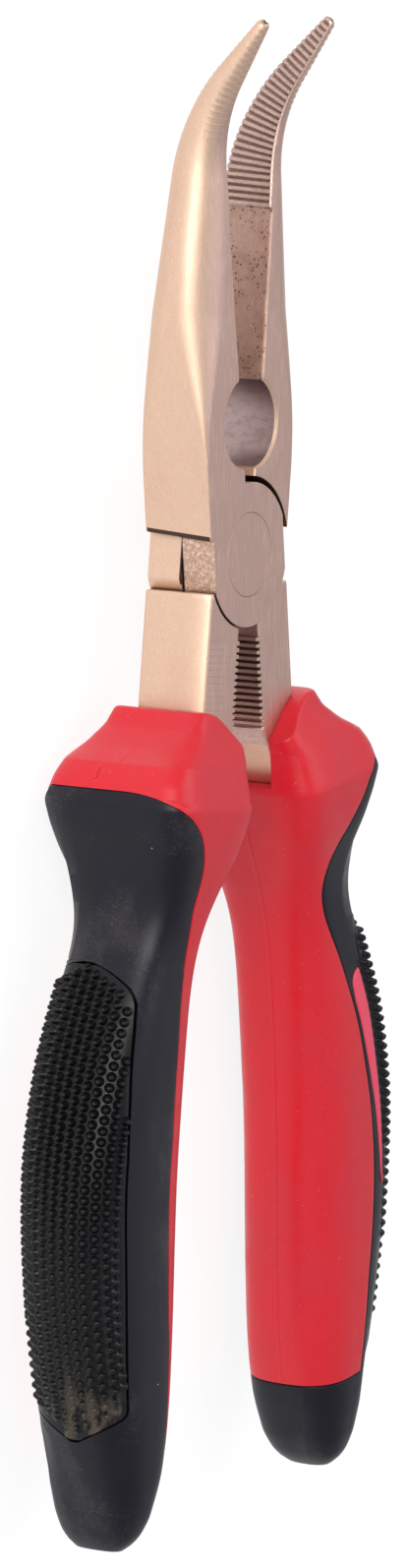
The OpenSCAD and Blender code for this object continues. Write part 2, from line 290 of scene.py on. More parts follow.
def tooth(phase):
    """Depth of a jaw tooth, 0 at the crest and 1 at the root, along one pitch."""
    p = phase % 1.0
    if p < 0.5:
        return 0.0
    return math.sin(math.pi * (p - 0.5) / 0.5) ** 0.8


def jaw_rings():
    stations = [JAW_TOP, JAW_TOP + 0.12, JAW_TOP + 0.3] + list(np.arange(4.6, TEETH_START - 0.05, 0.7))
    per_tooth = [0.0, 0.48, 0.56, 0.65, 0.75, 0.85, 0.94]
    teeth = int((JAW_LEN - 0.5 - TEETH_START) / TEETH_PITCH)
    for i in range(teeth):
        stations += [TEETH_START + (i + p) * TEETH_PITCH for p in per_tooth]
    end = TEETH_START + teeth * TEETH_PITCH
    stations += [end, JAW_LEN - 0.45, JAW_LEN - 0.2, JAW_LEN - 0.05, JAW_LEN]
    rings = []
    for s in stations:
        h, w, rx, rz = JAW.at(s)
        y, up, slope = jaw_line(s)
        if s < TEETH_START - 0.01:
            face = CLOSING_GAP + (RELIEF - CLOSING_GAP) * ease((s - HOLE_Y + 1) / 1.0)
        elif s < end:
            face = CLOSING_GAP + TEETH_DEPTH * tooth((s - TEETH_START) / TEETH_PITCH)
        else:
            face = CLOSING_GAP
        start = max(0.0, JAW_TOP + 0.3 - s)
        tip = max(0.0, s - (JAW_LEN - 0.45)) / 0.45
        if start:
            inset = 0.3 - math.sqrt(max(0.0, 0.09 - start ** 2))
        else:
            inset = 0.4 * (1 - math.sqrt(max(0.0, 1 - tip ** 2)))
        rx, rz = min(rx, w - face - 0.4), min(rz, h - 0.05)
        rim = face if s < TEETH_START - 0.01 else CLOSING_GAP
        section = rounded_section(face + inset * 0.4, rim + inset * 0.4, w - inset, -h + inset, h - inset,
                                  min(0.22, 0.3 * h), (rx, rz), (rx, rz))
        slant = SHOULDER_SLANT * (1 - ease((s - JAW_TOP) / 6))
        lean = math.sin(slope) + slant
        rings.append([(-x, y - v * lean, MID_Z + up + v * math.cos(slope)) for x, v in section])
    return rings


# Tang and arm: inner side, outer side, half thickness
ARM = Table([
    (0, ARM_HALF_GAP, ARM_HALF_W, 5.0), (23, ARM_HALF_GAP, 9.4, 5.0), (25, 1.6, 9.5, 5.0),
    (28, 3.3, 10.2, 5.0), (32.5, 4.9, 11.9, 5.0), (33.5, 5.0, 12.0, 3.0), (40, 8.0, 14.2, 3.0),
    (47, 10.0, 15.6, 3.0), (56, 12.6, 18.0, 3.0), (67, 14.8, 20.2, 3.0), (80, 15.6, 20.8, 3.0),
    (92, 15.2, 19.6, 3.0), (104, 13.2, 17.2, 3.0), (111, 12.4, 15.2, 3.0),
], lambda y: 0.25 if y < 36 else 2.0)


def arm_tooth(phase):
    """Depth of a slot between two arm teeth, along one pitch from a crest."""
    p = phase % 1.0
    return 0.0 if p < 0.5 else math.sin(math.pi * (p - 0.5) / 0.5) ** 0.5


def arm_rings():
    stations = [ARM_TOP, ARM_TOP + 0.12, ARM_TOP + 0.3, 6.2, 7.0, 8.0, 9.0, 10.0, ARM_TEETH_START - 0.1]
    per_tooth = [0.0, 0.47, 0.51, 0.55, 0.62, 0.70, 0.80, 0.88, 0.94, 0.985]
    for i in range(ARM_TEETH):
        stations += [ARM_TEETH_START + (i + p) * ARM_PITCH for p in per_tooth]
    end = ARM_TEETH_START + ARM_TEETH * ARM_PITCH
    stations += list(np.arange(end + 0.1, 36, 0.6)) + list(np.arange(38, 111.5, 3.0))
    rings = []
    for s in stations:
        inner, outer, h = ARM.at(s)
        depth = 0.0
        if ARM_TEETH_START <= s < end:
            fade = 1.0 - 0.55 * ease((s - end + 3.5 * ARM_PITCH) / (3.5 * ARM_PITCH))
            depth = ARM_DEPTH * fade * arm_tooth((s - ARM_TEETH_START) / ARM_PITCH)
        elif s < ARM_TEETH_START:
            depth = 0.5
        start = max(0.0, ARM_TOP + 0.3 - s)
        inset = 0.3 - math.sqrt(max(0.0, 0.09 - start ** 2))
        side, through = (0.9, 3.2) if h > 4 else (1.0, 0.8)
        section = rounded_section(inner + depth, inner + depth, outer - inset, -h + inset, h - inset, 0.22,
                                  (side, through), (0.6, 0.6), steps=8)
        rings.append([(-x, -s, MID_Z + v) for x, v in section])
    return rings


def boss(low, high, top_edge, bottom_edge):
    """Round boss with two flats, its outer rim softened."""
    outline = []
    flat = math.asin(BOSS_HALF_W / BOSS_R)
    for side in (1, -1):
        for k in range(49):
            a = -flat + 2 * flat * k / 48
            outline.append((side * BOSS_R * math.sin(a), side * BOSS_R * math.cos(a)))

    def ring(inset, z):
        k = 1 - inset / BOSS_R
        return [(x * k, y * k, z) for x, y in outline]
    rings = [ring(bottom_edge, low), ring(bottom_edge * 0.3, low + bottom_edge * 0.3)]
    rings += [ring(0, low + bottom_edge), ring(0, high - top_edge)]
    rings += [ring(top_edge * 0.3, high - top_edge * 0.3), ring(top_edge, high)]
    if not bottom_edge:
        rings = rings[2:]
    if not top_edge:
        rings = rings[:-2]
    return loft("boss", rings)


def pocket(face, inside):
    """Cutter for the layer that the other half's boss turns in, from a face of the head to the
    middle, with a chamfer at the face."""
    rim = 0.12
    out = 1 if face > inside else -1
    profile = [(0, inside), (SHOULDER_R, inside), (SHOULDER_R, face - out * rim), (SHOULDER_R + rim, face),
               (SHOULDER_R + rim, face + out), (0, face + out)]
    return lathe("pocket", profile, 192, (0, SHOULDER_SHIFT))


def through_hole(radius, centre, rim):
    """Cutter for a round opening right through the head, chamfered at both faces."""
    low, high = 0.0, HEAD_T
    wide = radius + rim
    profile = [(0, low - 1), (wide, low - 1), (wide, low), (radius, low + rim),
               (radius, high - rim), (wide, high), (wide, high + 1), (0, high + 1)]
    return lathe("hole", profile, 128, centre)


def rivet_seat(extra):
    """Cutter for the countersunk seat of a rivet head, opening at z = 0."""
    rim = 0.03
    return lathe("seat", [(0, -1), (RIVET_R + extra + rim, -1), (RIVET_R + extra + rim, 0),
                          (RIVET_R + extra, rim), (RIVET_R + extra, RIVET_LAND),
                          (SHANK_R + extra, RIVET_DEPTH + extra / 2), (0, RIVET_DEPTH + extra / 2)], 128)


def rivet_bore(radius):
    """Cutter for the hole of the rivet's shank."""
    low, high = -1, HEAD_T + 1
    return lathe("bore", [(0, low), (radius, low), (radius, high), (0, high)])


def flipped(obj):
    obj.data.transform(FLIP)
    return obj


def mirrored(obj):
    obj.data.transform(MIRROR)
    obj.data.flip_normals()
    return obj


def front_half():
    split = MID_Z + LAYER_GAP / 2
    half = loft("front_half_steel", jaw_rings())
    combine(half, flipped(loft("arm", arm_rings())), "UNION")
    combine(half, pocket(0, split), "DIFFERENCE")
    combine(half, boss(split, HEAD_T, 0.0, SPLIT_EDGE), "UNION")
    combine(half, through_hole(HOLE_R, (HOLE_OFFSET, HOLE_Y), HOLE_RIM), "DIFFERENCE")
    combine(half, flipped(rivet_seat(RUNNING_FIT)), "DIFFERENCE")
    combine(half, rivet_bore(SHANK_R + RUNNING_FIT), "DIFFERENCE")
    fix_normals(half)
    return half


def rear_half():
    split = MID_Z - LAYER_GAP / 2
    half = mirrored(loft("rear_half_steel", jaw_rings()))
    combine(half, loft("arm", arm_rings()), "UNION")
    combine(half, pocket(HEAD_T, split), "DIFFERENCE")
    combine(half, boss(0, split, SPLIT_EDGE, 0.0), "UNION")
    combine(half, through_hole(HOLE_R, (-HOLE_OFFSET, HOLE_Y), HOLE_RIM), "DIFFERENCE")
    combine(half, rivet_seat(0), "DIFFERENCE")
    combine(half, rivet_bore(SHANK_R), "DIFFERENCE")
    fix_normals(half)
    return half


def rivet():
    rim = 0.04
    return lathe("pivot_rivet_steel", [
        (0, 0), (RIVET_R - rim, 0), (RIVET_R, rim), (RIVET_R, RIVET_LAND), (SHANK_R, RIVET_DEPTH),
        (SHANK_R, HEAD_T - RIVET_DEPTH), (RIVET_R, HEAD_T - RIVET_LAND), (RIVET_R, HEAD_T - rim),
        (RIVET_R - rim, HEAD_T), (0, HEAD_T)], 128)


# ---- grips ---------------------------------------------------------------------------

# Left grip: distance from the pivot, inner side, outer side, half thickness, squareness
GRIP = Table([
    (16, 1.2, 11.9, 6.6, 12), (20.6, 1.4, 12.8, 7.0, 12), (23, 1.9, 14.2, 7.6, 10),
    (25.4, 2.3, 17.2, 8.6, 8), (27.6, 2.7, 21.0, 9.7, 6.5), (29.6, 2.7, 22.5, 10.3, 6.5),
    (33.0, 2.5, 23.3, 11.2, 6.5), (36, 3.2, 22.2, 10.8, 6), (40.5, 4.4, 20.1, 9.9, 5.2),
    (44, 5.7, 19.0, 8.5, 4.4), (47.5, 6.8, 19.0, 7.8, 3.8), (51, 7.6, 20.2, 7.4, 3.5),
    (57, 8.3, 23.1, 7.5, 3.3), (67, 8.3, 26.9, 7.9, 3.1), (80, 7.8, 28.9, 8, 2.9),
    (90, 6.9, 28.4, 8, 2.8), (100, 6.1, 26.3, 7.9, 2.8), (110, 5.5, 23.1, 7.7, 2.7),
    (118, 5.9, 19.9, 7.4, 2.7), (121.8, 6.9, 18.5, 7, 2.7), (125.8, 7.8, 17.1, 6.2, 2.7),
    (128.1, 8.8, 16.2, 5.3, 2.6), (129.4, 9.7, 15.4, 4.4, 2.5), (GRIP_END, 10.8, 14.4, 3.2, 2.5),
], lambda y: 0.12 if y < 31.5 else 0.4 + 2.6 * ease((y - 34) / 12) * ease((123 - y) / 6))

# Edges as lengths round the outline from the middle of the outer side, lower face first
SKIN_EDGE = Table([
    (30, -13.9, 14.4), (36, -14.2, 14.5), (39, -15.0, 14.5), (42, -15.8, 13.6), (46, -16.0, 12.1),
    (52, -15.3, 12.9), (58, -14.8, 15.0), (65, -14.8, 17.5), (76, -14.2, 19.6), (91, -13.1, 20.2),
    (104, -12.3, 19.6), (119, -9.9, 16.0), (GRIP_END, -9.0, 14.0),
], lambda y: 1.2)
PAD_EDGE = Table([
    (53.4, -3.2, -1.6), (53.8, -5.4, -0.2), (54.3, -6.9, 1.3), (54.9, -8.1, 2.7), (56.2, -9.4, 5.0),
    (58, -10.0, 6.3), (61.4, -10.4, 7.0), (70, -10.6, 8.5), (78, -10.6, 9.6), (90, -10.0, 10.1),
    (95, -9.4, 10.0), (101, -8.7, 9.6), (111, -7.2, 8.5), (111.8, -6.9, 7.9), (115.6, -0.4, 0.6),
], lambda y: 0.25)
INLAY = Table([
    (60.6, -11.2), (61.2, -12.7), (62.4, -13.7), (65, -14.1), (71, -13.7), (78, -13.1),
    (84, -12.2), (90, -11.2), (92.6, -10.4),
], lambda y: 0.3)
PAD_TOP, PAD_END = 53.4, 115.6
INLAY_TOP, INLAY_END = 60.6, 92.6
# Groove round the pad, round lip of the overmould, and the hair between two rings at a step
GROOVE = 0.28
LIP = 0.24
STEP_APART = 0.0011
# The core's surface under the overmould. SKIN_BACK is deeper, so the two overlap out of sight
CORE_SINK = 1.5
# Round corner of the overmould on the upper face, at the guard
CORNER_LENGTH = 6.5
CORNER_START = 2.0
CORE_STEPS = 44
# Distances of the guard's ridges; the overmould starts below the first one
RIDGES = (27.6, 33.0)
# Mouth of the core: where the straight sections start, its flat rim, and its slant inward
BASE_Y = 26.8
MOUTH_TOP = 20.6
MOUTH_SLANT = 0.765
MOUTH_INNER_Y = 26.6
MOUTH_ROUND = 0.6
# Opposite corners of the window round the inner side of the arm
WINDOW_LOW = (-5.6, -32.2, 0.0)
WINDOW_HIGH = (3.0, -17.0, HEAD_T)
# Moulding gate mark: its place, half width and half length, depth of its foot and height
GATE_Y = 28.9
GATE_LENGTH = -2.6
GATE_HALF = (0.36, 0.9)
GATE_SINK = 0.1
GATE_RISE = 0.40
PAD_DEPTH = 1.2

# Nubs of the pad: pitch round the outline and along it, place of a column, room at the edges
NUB_COLUMN_PITCH = 1.46
NUB_ROW_PITCH = 1.38
NUB_OFFSET = 0.82
NUB_MARGIN = 0.7
NUB_START = 0.9
NUB_FADE_FROM = 72
NUB_FADE_LENGTH = 25
NUB_FADE = 0.45
NUB_SIDES = 10
NUB_TOP = 0.95
NUB_PROFILE = [(0.74, -0.12), (0.68, 0.0), (0.59, 0.14), (0.46, 0.42), (0.36, 0.68), (0.25, 0.86),
               (0.12, 0.94)]


class Section:
    """Outline of the left grip at one distance, by arc length from the middle of its outer
    side. Lengths are positive on the upper face and negative on the lower one."""

    def __init__(self, y):
        inner, outer, h, n = GRIP.at(y)
        half = (outer - inner) / 2
        phi = np.linspace(-math.pi, math.pi, 721)
        r = (np.abs(np.cos(phi) / half) ** n + np.abs(np.sin(phi) / h) ** n) ** (-1 / n)
        self.u = (inner + outer) / 2 + r * np.cos(phi)
        self.v = r * np.sin(phi)
        length = np.concatenate([[0], np.cumsum(np.hypot(np.diff(self.u), np.diff(self.v)))])
        self.length = length - length[360]
        self.half = self.length[-1]
        du, dv = np.gradient(self.u), np.gradient(self.v)
        size = np.hypot(du, dv)
        self.nu, self.nv = dv / size, -du / size
        self.y = y

    def at(self, length, up=0.0):
        """Point at a length, in the closed frame, raised along the outline's normal or, where up
        is negative, drawn in towards the middle so that no corner folds over."""
        u, v, nu, nv = (float(np.interp(length, self.length, a)) for a in (self.u, self.v, self.nu, self.nv))
        if up < 0:
            mid = (self.u.max() + self.u.min()) / 2
            nu, nv = (u - mid) / (self.u.max() - mid), v / self.v.max()
        return (-(u + up * nu), -self.y, MID_Z + v + up * nv)


_sections = {}


def section(y):
    key = round(y, 3)
    if key not in _sections:
        _sections[key] = Section(key)
    return _sections[key]


def skin_edges(y):
    """Lengths of the overmould's lower and upper edges. Its corners at the guard are round."""
    table_y = min(max(y, SKIN_TOP), CAP_TOP)
    low, high = SKIN_EDGE.at(table_y)
    if y < SKIN_TOP + CORNER_LENGTH:
        t = 1 - max(0.0, y - SKIN_TOP) / CORNER_LENGTH
        high = CORNER_START + (high - CORNER_START) * math.sqrt(max(0.0, 1 - t ** 2))
    low *= 1 - 0.35 * max(0.0, 1 - max(0.0, y - SKIN_TOP) / 3) ** 2
    k = section(y).half / section(table_y).half
    return low * k, high * k


def pad_edges(y):
    """Lengths of the nub pad's lower and upper edges."""
    return PAD_EDGE.at(min(max(y, PAD_TOP), PAD_END))


def inlay_edges(y):
    """Lengths of the side inlay's two edges, on the lower face."""
    k = section(y).half / section(CAP_TOP).half if y > CAP_TOP else 1.0
    y = min(max(y, INLAY_TOP), INLAY_END)
    return k * INLAY.at(y)[0], k * (pad_edges(y)[0] - 0.45)


def grip_stations(start, end, extra=(), spacing=0.8):
    """Distances from start to end, close together at the places given."""
    steps = (0.02, 0.06, 0.14, 0.3, 0.55)
    out = set(np.round(np.arange(start, end, spacing), 3)) | {start, end}
    for place_at in extra:
        for d in (0.0,) + steps:
            for y in (place_at - d, place_at + d):
                if start <= y <= end:
                    out.add(round(y, 3))
    return sorted(out)


def core_ring(y, lift=0.0):
    """Ring of the red core: from the inner side over the upper face, under the overmould and
    back over the lower face. The two halves mirror each other."""
    s = section(y)
    low, high = skin_edges(y)
    covered = y >= SKIN_TOP
    sink = -CORE_SINK if covered else 0.0
    start = s.half - 0.2

    def side(edge):
        path = [(s.half, 0.05), (s.half - 0.09, 0.03), (start, 0.0)]
        path += [(start + (edge + 0.12 - start) * k / CORE_STEPS, 0.0) for k in range(1, CORE_STEPS + 1)]
        path.append((edge + 0.04, -0.03 if covered else 0.0))
        path.append((edge + 0.01, -0.25 if covered else 0.0))
        path.append((edge, sink))
        return path + [(edge * (1 - k / 12), sink) for k in range(1, 12)]
    middle = [(0.0, sink if covered else 0.05)]
    lower = [(-length, up) for length, up in side(-low)[:0:-1]]
    return [s.at(length, up + lift) for length, up in side(high) + middle + lower]


def mouth_y(u):
    """Distance at which the core starts: a flat rim outside, then a slant to the inner side."""
    slant = MOUTH_INNER_Y - MOUTH_SLANT * (u - 1.0)
    rise = min(50, (slant - MOUTH_TOP) / MOUTH_ROUND)
    return MOUTH_TOP + MOUTH_ROUND * math.log1p(math.exp(rise))


def warped_ring(t, down):
    """Ring between the slanted mouth, at t = 0, and the straight section at t = 1. down is how
    far its points lie behind the mouth, and how far they are drawn in towards the middle."""
    base = core_ring(BASE_Y)
    sink, pull = down
    ring = []
    for x, y, z in base:
        u = -x
        for _ in range(4):
            here = mouth_y(u) + sink
            yy = here + (BASE_Y - here) * t
            s, b = section(yy), section(BASE_Y)
            ku = (s.u.max() - s.u.min()) / (b.u.max() - b.u.min())
            kv = s.v.max() / b.v.max()
            u = s.u.min() + (-x - b.u.min()) * ku
        v = (z - MID_Z) * kv
        mid = (s.u.max() + s.u.min()) / 2
        hw, hh = (s.u.max() - s.u.min()) / 2, s.v.max()
        u = mid + (u - mid) * (1 - pull / hw)
        v = v * (1 - pull / hh)
        ring.append((-u, -yy, MID_Z + v))
    return ring


def grip_core():
    rings = [warped_ring(0.0, (0.0, 0.45)), warped_ring(0.0, (0.06, 0.2)), warped_ring(0.0, (0.2, 0.05)),
             warped_ring(0.0, (0.42, 0.0))]
    rings += [warped_ring(k / 10, (0.42, 0.0)) for k in range(1, 10)]
    for y in grip_stations(BASE_Y, CAP_TOP, (SKIN_TOP, CAP_TOP) + RIDGES):
        if y == SKIN_TOP:
            rings.append(core_ring(y - 0.001))
        rings.append(core_ring(y, -0.18 * max(0.0, 1 - (CAP_TOP - y) / 0.15) ** 2))
    rings += [core_ring(CAP_TOP + 0.05, -CORE_SINK), core_ring(CAP_TOP + 2.0, -CORE_SINK)]
    count = len(rings[0])
    core = loft("grip_core_red", rings, ladder(count))
    combine(core, block("window", WINDOW_LOW, WINDOW_HIGH), "DIFFERENCE")
    fix_normals(core)
    join(core, gate_mark())
    return core


def gate_mark():
    """Small raised mark of the moulding gate, on the middle of the guard."""
    across, along = GATE_HALF
    rings = []
    for k in range(9):
        t = -1 + k / 4
        wide = math.sqrt(max(0.02, 1 - t ** 2))
        s = section(GATE_Y + along * t)
        ring = []
        for j in range(12):
            a = math.pi * j / 6
            up = GATE_RISE * wide * math.sin(a) - GATE_SINK
            ring.append(s.at(GATE_LENGTH + across * wide * math.cos(a), up))
        rings.append(ring)
    return loft("gate_mark", rings)


def block(name, low, high):
    corners = [(x, y, z) for z in (low[2], high[2]) for x, y in
               ((low[0], low[1]), (high[0], low[1]), (high[0], high[1]), (low[0], high[1]))]
    faces = [(3, 2, 1, 0), (4, 5, 6, 7), (0, 1, 5, 4), (1, 2, 6, 5), (2, 3, 7, 6), (3, 0, 4, 7)]
    return new_object(name, corners, faces)


def even_steps(start, end, count, up):
    """Points (length, up) that part a stretch of the outline into count steps, ends left out."""
    return [(start + (end - start) * k / count, up) for k in range(1, count)]


def recess_wall(edge, turn, depth):
    """Points down the wall of a recess. turn is -1 or 1, the way to the floor from the edge."""
    return [(edge + turn * d, up * depth) for d, up in ((0.0, 0.0), (0.05, -0.12), (0.1, -PAD_DEPTH))]


def overmould_outside(y):
    """Points (length, up) over the overmould, from its upper edge to its lower edge."""
    lip = [(0.0, -0.45), (0.02, -0.2), (0.1, -0.06), (LIP, 0.0)]
    lower, upper = skin_edges(y)
    pad_low, pad_high = pad_edges(y)
    inner, outer = inlay_edges(y)
    inner = max(inner, lower + 0.6)
    outer = min(max(outer, inner + 0.6), pad_low - 0.5)
    pad_deep = 1.0 if PAD_TOP <= y <= PAD_END else 0.0
    inlay_deep = 1.0 if INLAY_TOP <= y <= INLAY_END else 0.0
    lip_deep = 0.0 if y >= CAP_TOP else 1.0
    path = [(upper - d, up * lip_deep) for d, up in lip]
    path += even_steps(upper - LIP, pad_high, 13, 0.0)
    path += recess_wall(pad_high, -1, pad_deep)
    path += even_steps(pad_high - 0.1, pad_low + 0.1, 24, -PAD_DEPTH * pad_deep)
    path += recess_wall(pad_low, 1, pad_deep)[::-1]
    path += even_steps(pad_low, outer, 3, 0.0)
    path += recess_wall(outer, -1, inlay_deep)
    path += even_steps(outer - 0.1, inner + 0.1, 8, -PAD_DEPTH * inlay_deep)
    path += recess_wall(inner, 1, inlay_deep)[::-1]
    path += even_steps(inner, lower + LIP, 9, 0.0)
    return path + [(lower + d, up * lip_deep) for d, up in lip[::-1]]


def overmould_ring(y):
    """Ring of the overmould: its outside, then its inner face, or beyond CAP_TOP the rest of the
    cap's outline."""
    s = section(y)
    lower, upper = skin_edges(y)
    top = max(0.0, SKIN_TOP + LIP - y) / LIP
    drop = -0.45 * (1 - math.sqrt(max(0.0, 1 - top ** 2)))
    points = [s.at(length, up + drop) for length, up in overmould_outside(y)]
    back = 48
    if y < CAP_TOP:
        return points + [s.at(lower + (upper - lower) * k / back, -SKIN_BACK) for k in range(1, back)]
    rim = -0.3 * max(0.0, 1 - (y - CAP_TOP) / 0.25) ** 2
    for k in range(1, back):
        length = lower - (2 * s.half + lower - upper) * k / back
        length = length if length > -s.half else length + 2 * s.half
        points.append(s.at(length, rim + (0.05 if k == back // 2 else 0.0)))
    return points


def grip_overmould():
    """The black overmould with the cap that closes the grip, in one piece."""
    marks = (PAD_TOP, PAD_END, INLAY_TOP, INLAY_END, SKIN_TOP, CAP_TOP) + RIDGES[1:]
    rings = []
    for y in grip_stations(SKIN_TOP, GRIP_END, marks, 0.6):
        if y in (PAD_TOP, INLAY_TOP, CAP_TOP):
            rings.append(overmould_ring(y - STEP_APART))
        rings.append(overmould_ring(y))
        if y in (PAD_END, INLAY_END):
            rings.append(overmould_ring(y + STEP_APART))
    last = np.array(overmould_ring(GRIP_END))
    mid = last.mean(axis=0)
    for k in (0.75, 0.45, 0.15):
        flat = mid + (last - mid) * k
        flat[:, 1] -= 0.16 * (1 - k)
        rings.append([tuple(p) for p in flat])
    return loft("grip_overmould_black", rings)


def pad_ring(y, inset):
    """Ring of the pad: its raised top, then the floor that it lies on."""
    s = section(y)
    low, high = pad_edges(y)
    low, high = low + GROOVE, high - GROOVE
    rise = [(0.0, -PAD_DEPTH), (0.0, -0.3), (0.06, -0.1), (0.2, 0.0)]
    path = [(high - d, up - inset) for d, up in rise]
    path += even_steps(high - 0.2, low + 0.2, 30, -inset)
    path += [(low + d, up - inset) for d, up in rise[::-1]]
    path += even_steps(low, high, 14, -PAD_DEPTH)
    return [s.at(length, max(up, -PAD_DEPTH)) for length, up in path]


def nub_pad():
    """Textured pad: a raised cushion in its recess, covered with staggered cone nubs."""
    start, end = PAD_TOP + GROOVE, PAD_END - GROOVE
    rings = []
    for y in grip_stations(start, end, (start, end), 0.6):
        edge = min(y - start, end - y)
        rings.append(pad_ring(y, 0.3 * max(0.0, 1 - edge / 0.25) ** 2))
    pad = loft("nub_pad_black", rings)
    join(pad, nub_field())
    return pad


def nub_places():
    """Distance from the pivot and length round the outline of each nub, in staggered columns."""
    for column in range(-7, 7):
        length = column * NUB_COLUMN_PITCH + NUB_OFFSET
        start = PAD_TOP + NUB_START + (NUB_ROW_PITCH / 2 if column % 2 else 0)
        for y in np.arange(start, PAD_END, NUB_ROW_PITCH):
            near = [pad_edges(y), pad_edges(y + 0.6), pad_edges(y - 0.6)]
            low = max(edges[0] for edges in near)
            high = min(edges[1] for edges in near)
            if low + NUB_MARGIN < length < high - NUB_MARGIN:
                yield y, length


def nub_field():
    """All nubs of a pad in one object. Each is a blunt cone, lower towards the end of the grip."""
    verts, faces = [], []
    for y, length in nub_places():
        base = len(verts)
        tall = 1 - NUB_FADE * ease((y - NUB_FADE_FROM) / NUB_FADE_LENGTH)
        foot = np.array(section(y).at(length))
        axis = np.array(section(y).at(length, 1.0)) - foot
        along = np.array(section(y + 0.4).at(length)) - foot
        along -= axis * along.dot(axis)
        along /= np.linalg.norm(along)
        across = np.cross(axis, along)
        for r, up in NUB_PROFILE:
            for k in range(NUB_SIDES):
                a = 2 * math.pi * k / NUB_SIDES
                verts.append(foot + axis * up * tall + r * (math.cos(a) * along + math.sin(a) * across))
        verts.append(foot + axis * NUB_TOP * tall)
        for j in range(len(NUB_PROFILE) - 1):
            for k in range(NUB_SIDES):
                a, b = base + j * NUB_SIDES + k, base + j * NUB_SIDES + (k + 1) % NUB_SIDES
                faces.append((a, b, b + NUB_SIDES, a + NUB_SIDES))
        tip = base + len(NUB_PROFILE) * NUB_SIDES
        for k in range(NUB_SIDES):
            faces.append((tip - NUB_SIDES + k, tip - NUB_SIDES + (k + 1) % NUB_SIDES, tip))
        faces.append(tuple(base + k for k in range(NUB_SIDES))[::-1])
    nubs = new_object("nubs", verts, faces)
    fix_normals(nubs)
    return nubs


def join(target, other):
    bm = bmesh.new()
    bm.from_mesh(target.data)
    bm.from_mesh(other.data)
    bm.to_mesh(target.data)
    bm.free()
    bpy.data.objects.remove(other)


def side_inlay():
    """Pink strip in its recess on the lower face, slightly raised and rounded at its edges."""
    rings = []
    play = 0.08
    start, end = INLAY_TOP + play, INLAY_END - play
    rise = [(0.0, -PAD_DEPTH), (0.0, -0.25), (0.1, -0.02), (0.3, 0.12)]
    for y in grip_stations(start, end, (start, end), 0.6):
        s = section(y)
        a, b = inlay_edges(y)
        a, b = a + play, b - play
        edge = max(0.0, 1 - min(y - start, end - y) / 0.5)
        low = 0.35 * (1 - math.sqrt(max(0.0, 1 - edge ** 2)))
        path = [(b - d, up - low) for d, up in rise]
        path += even_steps(b - 0.3, a + 0.3, 12, 0.14 - low)
        path += [(a + d, up - low) for d, up in rise[::-1]]
        path += even_steps(a, b, 6, -PAD_DEPTH)
        rings.append([s.at(length, up) for length, up in path])
    return loft("side_inlay_pink", rings)


# ---- materials -----------------------------------------------------------------------

